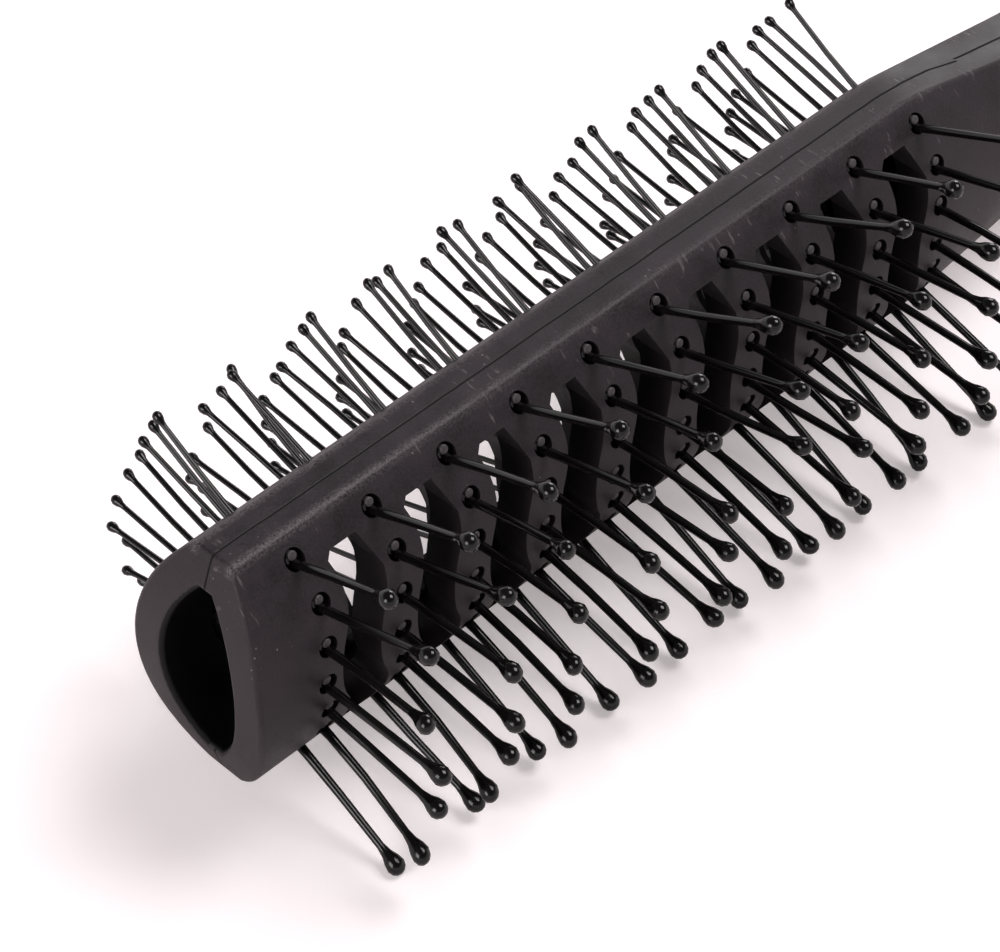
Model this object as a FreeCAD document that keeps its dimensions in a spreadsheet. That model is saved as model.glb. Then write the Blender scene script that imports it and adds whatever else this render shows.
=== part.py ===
"""Two-sided vent brush: a lens-shaped tunnel of two half shells with ten bristle strips on each side.

Brush frame: X runs from the nose to the handle with row 1 at zero, Y is negative on the front side
and zero on the seam, Z is up across the width. Both sides are drawn as front sides, and the back one
is turned over about X. Every piece is then shifted so that the lowest bristle tips stand on Z = 0 and
the brush is centred over the origin. The ribs between the vents, and the strips behind them, swing
along X in a wave across the width.
"""
import FreeCAD, Part
import Sketcher
import math
import os

from FreeCAD import Placement, Rotation, Vector

ROWS = 10
FRONT_COLUMNS = 7
BACK_COLUMNS = 13
# Degrees of the wave from the middle column to the outer one
WAVE_TURN = 270
# Limits below which a cut removes nothing and a point lies on a curve
LEAST_CUT = 0.1
ON_CURVE = 1e-4

# Driving dimensions in millimetres and degrees
SIZES = {
    # Bristle field
    "row_pitch": 10.0,
    "pin_inset": 2.0,
    "fan_angle": 24.0,
    "wave_height": 1.1,
    "front_stagger": 0.6,
    "back_stagger": 1.0,
    # Head section
    "head_half_width": 15.2,
    "head_half_band": 2.45,
    "head_crown": 9.1,
    "edge_round": 0.9,
    "tunnel_wall": 4.1,
    "tunnel_land": 4.2,
    "nose_reach": 6.3,
    "nose_bow": 3.0,
    "nose_round": 0.6,
    "head_reach": -1.0,
    # Vents between the rows
    "vent_width": 5.1,
    "vent_inset": 2.9,
    "vent_corner": 0.7,
    "vent_sweep": 3.9,
    "vent_slant": 1.5,
    # Strip seats
    "skin": 2.0,
    "bar_width": 3.2,
    "bar_thickness": 1.8,
    "bar_inset": 2.4,
    "seat_clearance": 0.1,
    "hole_clearance": 0.3,
    # Front bristles
    "front_length": 15.4,
    "front_shaft": 0.85,
    "front_ball": 2.05,
    "front_collar": 1.7,
    # Back bristles
    "back_length": 11.85,
    "back_shaft": 0.6,
    "back_ball": 1.05,
    "back_collar": 0.85,
    "collar_drop": 0.4,
    "neck_angle": 20.0,
    # Handle sections, each at its distance from the end of the head
    "neck_at": 33.0,
    "neck_half_width": 9.6,
    "neck_half_band": 3.6,
    "neck_crown": 7.7,
    "grip_at": 54.0,
    "grip_half_width": 9.8,
    "grip_half_band": 3.5,
    "grip_crown": 7.4,
    "palm_at": 94.0,
    "palm_half_width": 11.4,
    "palm_half_band": 3.3,
    "palm_crown": 7.4,
    "tail_at": 122.0,
    "tail_half_width": 10.0,
    "tail_half_band": 2.2,
    "tail_crown": 4.8,
    "tail_bow": 7.0,
    "handle_wall": 1.8,
    "seam_land": 2.6,
    "hollow_end": 0.8,
    # Hang hole
    "hang_inset": 11.0,
    "hang_bore": 5.0,
}

# Handle sections and the steps in which each is reached from the one before
HANDLE = (("neck", 11), ("grip", 3), ("palm", 4), ("tail", 6))
# Shares of the neck's length at which its straight taper begins and ends
TAPER = (0.1, 0.75)

doc = FreeCAD.newDocument("vent_brush")
sheet = doc.addObject("Spreadsheet::Sheet", "Sizes")
for line, (alias, value) in enumerate(SIZES.items(), start=1):
    sheet.set(f"A{line}", alias)
    sheet.set(f"B{line}", str(value))
    sheet.setAlias(f"B{line}", alias)
doc.recompute()

# Dimensions that follow from the driving ones
derived = doc.addObject("Spreadsheet::Sheet", "Derived")
derived_count = 0


def S(alias):
    """A driving dimension as it is written in an expression."""
    return f"Sizes.{alias}"


def D(alias):
    """A derived dimension as it is written in an expression."""
    return f"Derived.{alias}"


def derive(alias, formula):
    """Add a derived dimension to its sheet."""
    global derived_count
    derived_count += 1
    derived.set(f"A{derived_count}", alias)
    derived.set(f"B{derived_count}", "=" + formula)
    derived.setAlias(f"B{derived_count}", alias)
    return D(alias)


def number(expression):
    """The present value of an expression."""
    return float(sheet.evalExpression(str(expression)))


def circle_through(half, rise):
    """Radius of an arc with a half chord and a rise."""
    return f"(({half})^2 + ({rise})^2) / (2 * ({rise}))"


def outermost(columns):
    """Number of the outer column, counted from the middle one."""
    return (columns - 1) // 2


def blend(first, second, share):
    """A size between two others."""
    return f"{first} + ({second} - {first}) * {share:.6f}"


def tapered(share):
    """How far the neck has narrowed at a share of its length, with rounded ends of its straight taper."""
    begin, end = TAPER
    whole = (1 + end - begin) / 2
    if share < begin:
        return share ** 2 / (2 * begin) / whole
    if share < end:
        return (share - begin / 2) / whole
    return 1 - (1 - share) ** 2 / (2 * (1 - end)) / whole


def half_lens(name):
    """Points of an outer section: flat band, rounded edge and circular face."""
    half, band, crown = (D(f"{name}_{item}") for item in ("half", "band", "crown"))
    face = derive(name + "_face", circle_through(half, f"{crown} - {band}"))
    centre = derive(name + "_centre", f"{crown} - {face}")
    inner = f"({face} - {S('edge_round')})"
    low = f"({half} - {S('edge_round')})"
    flat = derive(name + "_flat", f"{centre} + sqrt({inner}^2 - {low}^2)")
    derive(name + "_edge_out", f"{centre} + ({flat} - {centre}) * {face} / {inner}")
    derive(name + "_edge_up", f"{low} * {face} / {inner}")


def wave_at(across):
    """How far the outer turn of the wave is from its row at a height."""
    return (f"{S('wave_height')} - {D('wave_radius')} + "
            f"sqrt({D('wave_radius')}^2 - ({across} - 2 * {D('wave_quarter')})^2)")


PARTS_OF_SECTION = ("at", "half", "band", "crown", "hollow_half", "hollow_crown", "hollow_end")

derive("last_row", f"{ROWS - 1} * {S('row_pitch')}")
derive("head_end", f"{D('last_row')} + {S('head_reach')}")
derive("head_at", D("head_end"))
for item, size in (("half", "head_half_width"), ("band", "head_half_band"), ("crown", "head_crown")):
    derive("head_" + item, S(size))
half_lens("head")

# The tunnel keeps its wall under the head's face, and the handle's hollow narrows from it
derive("head_hollow_crown", f"{S('head_crown')} - {S('tunnel_wall')}")
derive("head_hollow_face", f"{D('head_face')} - {S('tunnel_wall')}")
derive("head_hollow_half", f"{S('head_half_width')} - {S('tunnel_land')}")
derive("head_hollow_end",
       f"{D('head_centre')} + sqrt({D('head_hollow_face')}^2 - {D('head_hollow_half')}^2)")

outer_stations = ["head"]
hollow_stations = ["head"]
previous = "head"
for key, steps in HANDLE:
    derive(key + "_at", f"{D('head_end')} + {S(key + '_at')}")
    derive(key + "_half", S(key + "_half_width"))
    derive(key + "_band", S(key + "_half_band"))
    derive(key + "_crown", S(key + "_crown"))
    derive(key + "_hollow_half", f"{D(key + '_half')} - {S('seam_land')}")
    derive(key + "_hollow_crown", f"{D(key + '_crown')} - {S('handle_wall')}")
    derive(key + "_hollow_end", S("hollow_end"))
    for step in range(1, steps + 1):
        share = step / steps
        smooth = tapered(share) if key == "neck" else share * share * (3 - 2 * share)
        name = key if step == steps else f"{key}_step{step}"
        if step < steps:
            for item in PARTS_OF_SECTION:
                part = share if item == "at" else smooth
                derive(f"{name}_{item}", blend(D(f"{previous}_{item}"), D(f"{key}_{item}"), part))
        half_lens(name)
        outer_stations.append(name)
        if key != HANDLE[-1][0]:
            rise = f"{D(name + '_hollow_crown')} - {D(name + '_hollow_end')}"
            derive(name + "_hollow_face", circle_through(D(name + "_hollow_half"), rise))
            hollow_stations.append(name)
    previous = key

# Columns spread over the face, and a wave that turns once in four front columns
derive("outer_column", f"{S('head_half_width')} - {S('pin_inset')}")
for side_name, columns in (("front", FRONT_COLUMNS), ("back", BACK_COLUMNS)):
    derive(side_name + "_column_pitch", f"{D('outer_column')} / {outermost(columns)}")
derive("wave_quarter", D("front_column_pitch"))
derive("wave_radius", circle_through(D("wave_quarter"), S("wave_height")))

derive("vent_end", f"{S('head_half_width')} - {S('vent_inset')}")
derive("bar_half_span", f"{S('head_half_width')} - {S('bar_inset')}")
derive("seat_half_span", f"{D('bar_half_span')} + {S('seat_clearance')}")
derive("nose_tip", f"0 - {S('nose_reach')} - {S('nose_bow')}")
derive("nose_radius", circle_through(S("head_half_width"), S("nose_bow")))
derive("handle_end", f"{D('head_end')} + {S('tail_at')}")
derive("tail_radius", circle_through(S("tail_half_width"), S("tail_bow")))
derive("hang_at", f"{D('handle_end')} - {S('hang_inset')}")
derive("root_depth", f"{S('skin')} + {S('bar_thickness')} / 2")
derive("seat_face", f"{D('head_face')} - {S('skin')}")
derive("bar_face", f"{D('seat_face')} - {S('bar_thickness')}")
for side_name in ("front", "back"):
    drop = f"{S(side_name + '_length')} * sin({S('fan_angle')})"
    tip_radius = f"{S(side_name + '_ball')} / 2"
    derive(side_name + "_drop", f"{D('outer_column')} + {drop} + {tip_radius}")
    derive(side_name + "_reach", f"{S('head_crown')} + {S(side_name + '_length')} + {tip_radius}")

# Where the brush frame sits in the part's own frame
derive("shift_x", f"0 - ({D('nose_tip')} + {D('handle_end')}) / 2")
derive("shift_y", f"({D('front_reach')} - {D('back_reach')}) / 2")
derive("shift_z", f"max({D('front_drop')}; {D('back_drop')})")
doc.recompute()


def origin_feature(body, role):
    """One of a body's own origin planes or axes."""
    return next(item for item in body.Origin.OriginFeatures if item.Role == role)


def outline(body, name, role, points, arcs=None, offset=None):
    """A closed sketch through points given as expressions; arcs maps an edge to its radius and middle."""
    arcs = arcs or {}
    sketch = body.newObject("Sketcher::SketchObject", name)
    sketch.AttachmentSupport = [(origin_feature(body, role), "")]
    sketch.MapMode = "FlatFace"
    if offset is not None:
        sketch.setExpression("AttachmentOffset.Base.z", offset)
    places = [Vector(number(a), number(b), 0) for a, b in points]
    count = len(points)
    ends = []
    for index in range(count):
        first, second = places[index], places[(index + 1) % count]
        if index in arcs:
            middle = Vector(*(number(value) for value in arcs[index][1]), 0)
            forward = (middle - first).cross(second - middle).z > 0
            start, stop = (first, second) if forward else (second, first)
            sketch.addGeometry(Part.Arc(start, middle, stop), False)
            ends.append((1, 2) if forward else (2, 1))
        else:
            sketch.addGeometry(Part.LineSegment(first, second), False)
            ends.append((1, 2))
    for index in range(count):
        following = (index + 1) % count
        sketch.addConstraint(Sketcher.Constraint(
            "Coincident", index, ends[index][1], following, ends[following][0]))
    for index, (a, b) in enumerate(points):
        distances = (("DistanceX", places[index].x, a), ("DistanceY", places[index].y, b))
        for kind, value, expression in distances:
            item = sketch.addConstraint(Sketcher.Constraint(
                kind, -1, 1, index, ends[index][0], value))
            sketch.setExpression(f"Constraints[{item}]", str(expression))
    for index, (radius, _) in arcs.items():
        item = sketch.addConstraint(Sketcher.Constraint("Radius", index, number(radius)))
        sketch.setExpression(f"Constraints[{item}]", str(radius))
    return sketch


def lens_section(body, name, section, offset):
    """The outer half lens of one section, standing across X."""
    half = D(section + "_half")
    flat, out, up = D(section + "_flat"), D(section + "_edge_out"), D(section + "_edge_up")
    radius = number(S("edge_round"))
    low = number(half) - radius
    turn = (math.pi / 2 + math.atan2(number(up) - low, number(out) - number(flat))) / 2
    corner_out = number(flat) + radius * math.cos(turn)
    corner_up = low + radius * math.sin(turn)
    points = [
        ("0", half), (f"0 - {flat}", half), (f"0 - {out}", up),
        (f"0 - {out}", f"0 - {up}"), (f"0 - {flat}", f"0 - {half}"), ("0", f"0 - {half}"),
    ]
    arcs = {
        1: (S("edge_round"), (-corner_out, corner_up)),
        2: (D(section + "_face"), (-number(D(section + "_crown")), 0)),
        3: (S("edge_round"), (-corner_out, -corner_up)),
    }
    return outline(body, name, "YZ_Plane", points, arcs, offset)


def hollow_section(body, name, section, offset):
    """The inner circular segment of one section, with blunt ends at the seam."""
    half, crown, end = (D(f"{section}_hollow_{item}") for item in ("half", "crown", "end"))
    points = [("0", half), (f"0 - {end}", half), (f"0 - {end}", f"0 - {half}"), ("0", f"0 - {half}")]
    arcs = {1: (D(section + "_hollow_face"), (-number(crown), 0))}
    return outline(body, name, "YZ_Plane", points, arcs, offset)


def wave_band(body, name, middle, half_width, end, corners=None):
    """A sketched band that follows the wave across a row; corners gives rise and depth of the cuts at its
    far and near corners."""
    quarter, radius = D("wave_quarter"), D("wave_radius")
    points, arcs = [], {}
    for sign, (rise, depth) in zip((1, -1), corners or (("0", "0"), ("0", "0"))):
        edge = f"{middle} + {sign} * {half_width}"
        turn = f"({end} - {rise})"
        bend = f"{edge} + {wave_at(turn)}"
        side = [(bend, f"0 - {turn}"), (edge, f"0 - {quarter}"), (edge, quarter), (bend, turn)]
        first = len(points)
        if corners:
            slanted = f"{bend} - {sign} * {depth}"
            side = [(slanted, f"0 - {end}"), *side, (slanted, end)]
            first += 1
        points += side[::sign]
        reach = (number(turn) + number(quarter)) / 2
        swell = number(edge) + number(wave_at(f"{reach}"))
        arcs[first] = (radius, (swell, -sign * reach))
        arcs[first + 1] = (radius, (number(edge) - number(S("wave_height")), 0))
        arcs[first + 2] = (radius, (swell, sign * reach))
    return outline(body, name, "XZ_Plane", points, arcs)


def cut(body, feature_type, name, **settings):
    """Add a cutting feature and make sure that it removes material."""
    before = body.Shape.Volume
    feature = body.newObject(feature_type, name)
    for key, value in settings.items():
        if key.startswith("bind_"):
            feature.setExpression(key.removeprefix("bind_"), value)
        else:
            setattr(feature, key, value)
    doc.recompute()
    if not body.Shape.Volume < before - LEAST_CUT:
        raise RuntimeError(f"{body.Label}: {name} removes nothing")
    return feature


def along_rows(body, name, originals, occurrences):
    """Repeat cuts from row to row."""
    pattern = body.newObject("PartDesign::LinearPattern", name)
    pattern.Originals = originals
    pattern.Direction = (origin_feature(body, "X_Axis"), [""])
    pattern.setExpression("Length", f"{occurrences - 1} * {S('row_pitch')}")
    pattern.Occurrences = occurrences
    body.Tip = pattern
    doc.recompute()
    return pattern


def column_angle(column, columns):
    """Lean of a bristle in its fan, as an expression."""
    return f"{column} * {S('fan_angle')} / {outermost(columns)}"


def stagger(side_name, column, columns):
    """How far a bristle's root swings from its row, as an expression."""
    return f"0 - {S(side_name + '_stagger')} * cos({column} * {WAVE_TURN} / {outermost(columns)})"


def on_bristle(side_name, column, columns, distance):
    """A point on a bristle's axis, measured outwards from the head's face, as expressions."""
    across = f"{column} * {D(side_name + '_column_pitch')}"
    angle = column_angle(column, columns)
    out = f"{D('head_centre')} + sqrt({D('head_face')}^2 - ({across})^2)"
    return f"0 - ({out}) - ({distance}) * cos({angle})", f"{across} + ({distance}) * sin({angle})"


def aim(item, side_name, column, columns, distance):
    """Turn a primitive's axis along its bristle and set its base on it."""
    item.Placement = Placement(Vector(), Rotation(Vector(1, 0, 0), 90))
    y, z = on_bristle(side_name, column, columns, distance)
    item.setExpression("Placement.Base.x", stagger(side_name, column, columns))
    item.setExpression("Placement.Rotation.Angle", f"90 - {column_angle(column, columns)}")
    item.setExpression("Placement.Base.y", y)
    item.setExpression("Placement.Base.z", z)


def settle(item, turn):
    """Turn a piece to its side of the brush and shift it into the part's frame."""
    item.Placement = Placement(Vector(), Rotation(Vector(1, 0, 0), turn))
    for axis in "xyz":
        item.setExpression(f"Placement.Base.{axis}", D("shift_" + axis))
    doc.recompute()


def column_range(columns):
    """Column numbers counted from the middle one."""
    return range(-outermost(columns), outermost(columns) + 1)


def make_half(label):
    """Half of the brush from nose to tail, with its tunnel and vents, as both sides have it."""
    body = doc.addObject("PartDesign::Body", label)
    body.Label = label

    head = body.newObject("PartDesign::Pad", label + "_head")
    head.Profile = lens_section(body, label + "_head_section", "head", D("nose_tip"))
    head.setExpression("Length", f"{D('head_end')} - {D('nose_tip')}")
    doc.recompute()

    outer = [lens_section(body, f"{label}_{name}_station", name, D(name + "_at"))
             for name in outer_stations]
    handle = body.newObject("PartDesign::AdditiveLoft", label + "_handle")
    handle.Profile = outer[0]
    handle.Sections = outer[1:]
    handle.Ruled = True
    doc.recompute()

    # Nose and tail are bowed in the plan view
    half, tip = S("head_half_width"), D("nose_tip")
    far = f"{tip} - {S('nose_reach')}"
    corner = f"0 - {S('nose_reach')}"
    nose = outline(body, label + "_nose_bow", "XZ_Plane",
                   [(corner, half), (far, half), (far, f"0 - {half}"), (corner, f"0 - {half}")],
                   {3: (D("nose_radius"), (number(tip), 0))})
    cut(body, "PartDesign::Pocket", label + "_nose", Profile=nose, Type=1, Midplane=True)
    half, end = S("tail_half_width"), D("handle_end")
    far = f"{end} + {S('tail_bow')}"
    corner = f"{end} - {S('tail_bow')}"
    clear = f"{half} + {S('tail_bow')}"
    tail = outline(body, label + "_tail_bow", "XZ_Plane",
                   [(corner, half), (corner, clear), (far, clear), (far, f"0 - ({clear})"),
                    (corner, f"0 - ({clear})"), (corner, f"0 - {half}")],
                   {5: (D("tail_radius"), (number(end), 0))})
    cut(body, "PartDesign::Pocket", label + "_tail", Profile=tail, Type=1, Midplane=True)

    # Tunnel through the head, running on as the handle's hollow
    tunnel = hollow_section(body, label + "_tunnel_section", "head", D("nose_tip"))
    cut(body, "PartDesign::Pocket", label + "_tunnel", Profile=tunnel, Type=0, Reversed=True,
        bind_Length=f"{D('head_end')} - {D('nose_tip')}")
    inner = [hollow_section(body, f"{label}_{name}_hollow", name, D(name + "_at"))
             for name in hollow_stations]
    hollow = cut(body, "PartDesign::SubtractiveLoft", label + "_hollow", Profile=inner[0],
                 Sections=inner[1:], Ruled=True)

    # The rim of the nose is rounded inside and out
    middle = Vector(number(tip) + number(D("nose_radius")), 0, 0)
    rim = []
    for index, edge in enumerate(body.Shape.Edges, start=1):
        spots = edge.discretize(5)
        on_bow = all(abs(math.hypot(spot.x - middle.x, spot.z) - number(D("nose_radius"))) < ON_CURVE
                     for spot in spots)
        if on_bow and max(abs(spot.y) for spot in spots) > ON_CURVE and spots[2].x < 0:
            rim.append(f"Edge{index}")
    rounding = body.newObject("PartDesign::Fillet", label + "_nose_round")
    rounding.Base = (hollow, rim)
    rounding.setExpression("Radius", S("nose_round"))
    doc.recompute()

    # Hang hole across the solid tail
    hang = body.newObject("Sketcher::SketchObject", label + "_hang_circle")
    hang.AttachmentSupport = [(origin_feature(body, "XZ_Plane"), "")]
    hang.MapMode = "FlatFace"
    hang.addGeometry(Part.Circle(Vector(number(D("hang_at")), 0, 0), Vector(0, 0, 1),
                                 number(S("hang_bore")) / 2), False)
    hang.addConstraint(Sketcher.Constraint("PointOnObject", 0, 3, -1))
    at = hang.addConstraint(Sketcher.Constraint("DistanceX", -1, 1, 0, 3, number(D("hang_at"))))
    bore = hang.addConstraint(Sketcher.Constraint("Diameter", 0, number(S("hang_bore"))))
    hang.setExpression(f"Constraints[{at}]", D("hang_at"))
    hang.setExpression(f"Constraints[{bore}]", S("hang_bore"))
    cut(body, "PartDesign::Pocket", label + "_hang_hole", Profile=hang, Type=1, Midplane=True)

    # Vents halfway between the rows
    slot = wave_band(body, label + "_vent_slot", f"{S('row_pitch')} / 2", f"{S('vent_width')} / 2",
                     D("vent_end"), ((S("vent_sweep"), S("vent_slant")), (S("vent_corner"),) * 2))
    vent = cut(body, "PartDesign::Pocket", label + "_vent", Profile=slot, Type=1, Midplane=True)
    along_rows(body, label + "_vents", [vent], ROWS - 1)
    return body


def primitive(kind, name, **sizes):
    """A solid primitive with its sizes bound to the sheet."""
    item = doc.addObject("Part::" + kind, name)
    for key, expression in sizes.items():
        item.setExpression(key, expression)
    return item


def across_rows(item, start):
    """Lay a cylinder's axis along X at the centre of the head's face."""
    item.Placement = Placement(Vector(), Rotation(Vector(0, 1, 0), 90))
    item.setExpression("Placement.Base.x", start)
    item.setExpression("Placement.Base.y", f"0 - {D('head_centre')}")


def wave_block(label, spare, half_span, start, depth):
    """A block that follows the wave behind one rib, from a start to a depth outwards of the seam."""
    half_width = f"({S('bar_width')} / 2 + {spare})"
    body = doc.addObject("PartDesign::Body", label + "_wave")
    pad = body.newObject("PartDesign::Pad", label + "_wave_pad")
    pad.Profile = wave_band(body, label + "_wave_band", "0", half_width, half_span)
    pad.Midplane = True
    pad.setExpression("Length", f"2 * {S('head_crown')}")
    room = f"({half_width} + {S('wave_height')})"
    slab = primitive("Box", label + "_slab", Length=f"2 * {room}", Width=f"{depth} - ({start})",
                     Height=f"2 * {half_span}")
    slab.setExpression("Placement.Base.x", f"0 - {room}")
    slab.setExpression("Placement.Base.y", f"0 - ({depth})")
    slab.setExpression("Placement.Base.z", f"0 - {half_span}")
    disc = primitive("Cylinder", label + "_disc", Radius=D("seat_face"), Height=f"2 * {room}")
    across_rows(disc, f"0 - {room}")
    block = doc.addObject("Part::MultiCommon", label + "_block")
    block.Shapes = [disc, slab, body]
    return block


def make_shell(label, half, side_name, columns, turn):
    """A half shell with the strip seats and bristle holes of its side, each hole along its bristle."""
    seat = wave_block(label + "_seat", S("seat_clearance"), D("seat_half_span"),
                      f"0 - {S('seat_clearance')}", S("head_crown"))
    cutters = [seat]
    for place, column in enumerate(column_range(columns), start=1):
        hole = primitive("Cylinder", f"{label}_hole_{place:02d}", Height=f"2 * {D('root_depth')}",
                         Radius=f"{S(side_name + '_collar')} / 2 + {S('hole_clearance')}")
        aim(hole, side_name, column, columns, f"0 - {D('root_depth')}")
        cutters.append(hole)
    row_cutter = doc.addObject("Part::MultiFuse", label + "_row_cutter")
    row_cutter.Shapes = cutters
    doc.recompute()
    cutter = doc.addObject("Part::Feature", label + "_cutter")
    pitch = number(S("row_pitch"))
    cutter.Shape = Part.makeCompound([row_cutter.Shape.translated(Vector(row * pitch, 0, 0))
                                      for row in range(ROWS)])
    shell = doc.addObject("Part::Cut", label)
    shell.Label = label
    shell.Base = half
    shell.Tool = cutter
    settle(shell, turn)
    return shell


def make_strip(label, side_name, columns, turn):
    """A curved bar with its row of ball-tipped bristles, at row 1."""
    block = wave_block(label, "0", D("bar_half_span"), S("seat_clearance"), S("head_crown"))
    room = f"({S('bar_width')} / 2 + {S('wave_height')})"
    core = primitive("Cylinder", label + "_core", Radius=D("bar_face"), Height=f"2 * {room}")
    across_rows(core, f"0 - {room}")
    bar = doc.addObject("Part::Cut", label + "_bar")
    bar.Base = block
    bar.Tool = core

    shaft, ball = S(side_name + "_shaft"), S(side_name + "_ball")
    length, angle = S(side_name + "_length"), S("neck_angle")
    root = D("root_depth")
    neck_top = f"({length} - {ball} / 2 * sin({angle}))"
    neck = f"(({ball} * cos({angle}) - {shaft}) / 2 / tan({angle}))"
    pieces = [bar]
    for place, column in enumerate(column_range(columns), start=1):
        stem = f"{label}_{place:02d}"
        collar = primitive("Cylinder", stem + "_collar", Radius=f"{S(side_name + '_collar')} / 2",
                           Height=f"{root} - {S('collar_drop')}")
        aim(collar, side_name, column, columns, f"0 - {root}")
        pin = primitive("Cylinder", stem + "_shaft", Radius=f"{shaft} / 2",
                        Height=f"{root} + {neck_top} - {neck}")
        aim(pin, side_name, column, columns, f"0 - {root}")
        flare = primitive("Cone", stem + "_flare", Radius1=f"{shaft} / 2",
                          Radius2=f"{ball} / 2 * cos({angle})", Height=neck)
        aim(flare, side_name, column, columns, f"{neck_top} - {neck}")
        tip = primitive("Sphere", stem + "_ball", Radius=f"{ball} / 2")
        aim(tip, side_name, column, columns, length)
        pieces += [collar, pin, flare, tip]
    strip = doc.addObject("Part::MultiFuse", label)
    strip.Label = label
    strip.Shapes = pieces
    settle(strip, turn)
    return strip


def repeat_strip(first, label, row):
    """The same strip in another row."""
    strip = doc.addObject("Part::Feature", label)
    strip.Label = label
    strip.Shape = first.Shape.copy()
    strip.Placement = first.Placement.copy()
    strip.Placement.Base.x = first.Placement.Base.x + row * number(S("row_pitch"))
    return strip


half_shell = make_half("half_shell")
nodes = []
for side_name, columns, turn in (("front", FRONT_COLUMNS, 0), ("back", BACK_COLUMNS, 180)):
    nodes.append(make_shell(side_name + "_shell", half_shell, side_name, columns, turn))
    first_strip = make_strip(side_name + "_bristle_strip_01", side_name, columns, turn)
    nodes.append(first_strip)
    for row in range(1, ROWS):
        nodes.append(repeat_strip(first_strip, f"{side_name}_bristle_strip_{row + 1:02d}", row))
doc.recompute()

for item in doc.Objects:
    if "Invalid" in item.State or "Error" in item.State:
        raise RuntimeError(f"{item.Label} failed: {item.State}")
for node in nodes:
    if node.Shape.isNull() or not node.Shape.isValid() or len(node.Shape.Solids) != 1:
        raise RuntimeError(f"{node.Label} is not one valid solid")

os.makedirs("parts", exist_ok=True)
for node in nodes:
    node.Shape.exportStep(f"parts/{node.Label}.step")
    box = node.Shape.BoundBox
    print(f"{node.Label}: {node.Shape.Volume:.1f} mm3, X {box.XMin:.2f} {box.XMax:.2f}, "
          f"Y {box.YMin:.2f} {box.YMax:.2f}, Z {box.ZMin:.2f} {box.ZMax:.2f}")
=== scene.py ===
"""Looks of a two-sided vent brush: moulded half shells, rows of nylon bristles and a pale studio."""
import math

import bmesh
import bpy
from mathutils import Matrix, Vector


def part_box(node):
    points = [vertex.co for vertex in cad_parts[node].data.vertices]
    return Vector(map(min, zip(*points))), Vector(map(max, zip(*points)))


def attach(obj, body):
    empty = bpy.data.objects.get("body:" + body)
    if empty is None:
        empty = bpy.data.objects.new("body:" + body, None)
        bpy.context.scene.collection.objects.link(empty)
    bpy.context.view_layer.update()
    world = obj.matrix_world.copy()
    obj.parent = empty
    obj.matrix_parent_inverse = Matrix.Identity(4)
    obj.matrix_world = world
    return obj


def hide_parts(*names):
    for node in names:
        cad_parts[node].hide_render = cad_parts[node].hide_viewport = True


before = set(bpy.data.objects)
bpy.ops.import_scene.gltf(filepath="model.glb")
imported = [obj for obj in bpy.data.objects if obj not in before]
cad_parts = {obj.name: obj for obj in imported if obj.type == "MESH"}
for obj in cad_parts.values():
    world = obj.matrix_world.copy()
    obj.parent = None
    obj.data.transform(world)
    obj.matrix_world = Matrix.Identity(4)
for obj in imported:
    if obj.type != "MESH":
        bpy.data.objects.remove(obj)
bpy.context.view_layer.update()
scene = bpy.context.scene
scene.view_settings.view_transform = "Standard"

MM = 0.001

# Brush frame: row 1 on the seam plane, halfway up the head
row_low, row_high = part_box("front_bristle_strip_01")
shell_low, shell_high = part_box("front_shell")
brush_origin = Vector(((row_low.x + row_high.x) / 2, shell_high.y, (shell_low.z + shell_high.z) / 2))

# Sizes of the head and its bristles in millimetres and degrees: those of the solids, apart from front shafts
# and back balls that are 0.05 mm thicker
ROWS = 10
ROW_PITCH = 10.0
FAN_ANGLE = 24.0
HEAD_CROWN = 9.1
FACE_RADIUS = 20.698
FACE_CENTRE = HEAD_CROWN - FACE_RADIUS
TUNNEL_WALL = 4.1
TUNNEL_RADIUS = FACE_RADIUS - TUNNEL_WALL
SKIN = 2.0
BAR_THICKNESS = 1.8
BAR_WIDTH = 3.2
BAR_HALF_SPAN = 12.8
COLLAR_DROP = 0.4
SIDES = {
    "front": {"columns": 7, "pitch": 4.4, "length": 15.4, "shaft": 0.9, "ball": 2.05, "collar": 1.7,
              "stagger": 0.6, "turn": 0.0, "lean": (-0.8, 0.0, 0.4), "wander": (1.1, 0.5, 0.7), "seed": 4,
              "aside": -0.5},
    "back": {"columns": 13, "pitch": 2.2, "length": 11.85, "shaft": 0.6, "ball": 1.1, "collar": 0.85,
             "stagger": 1.0, "turn": 180.0, "lean": (0.3, 0.0, 0.0), "wander": (0.8, 0.4, 0.8), "seed": 11,
             "aside": 0.0},
}
WAVE_HEIGHT = 1.1
WAVE_QUARTER = SIDES["front"]["pitch"]

# Details that only the looks have: how a pin bends, its rounded collar, the cut gate beside its root, whose
# radius and place are shares of the collar's width, and how finely each form is made
BEND_POWER = 1.6
COLLAR_ROUND = 0.12
STUB_DROP = 0.08
STUB_ROUND = 0.08
STUB_RADIUS = 0.3
STUB_ASIDE = 0.24
PIN_SIDES = 10
COLLAR_SIDES = 12
STUB_SIDES = 10
BAR_STEPS = 24

# Where the shells' finish changes, in millimetres along the brush from row 1
FIRST_HOLE = -3.5
NOSE_WEAR_END = 45.0
HEAD_END = 93.0
HOOK_START = 97.0
HOOK_END = 101.2
# The same out from the seam, and up or down from the middle of the head
HOOK_DEPTH = 0.45
EDGE_OUT = 2.4
SCUFF_START = 8.0
SCUFF_FULL = 12.0
VENT_REACH = 14.0
BAND_START = 14.0
BAND_FULL = 14.4
# How near an inner face lies to the tunnel's wall or the head's face, and how far it may turn outwards
TUNNEL_SLACK = 0.4
TUNNEL_FACING = -0.4
FACE_SLACK = 0.05
FACE_FACING = 0.6
# Edges below this angle in degrees are shaded smooth
SMOOTH_ANGLE = 26.0
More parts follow.
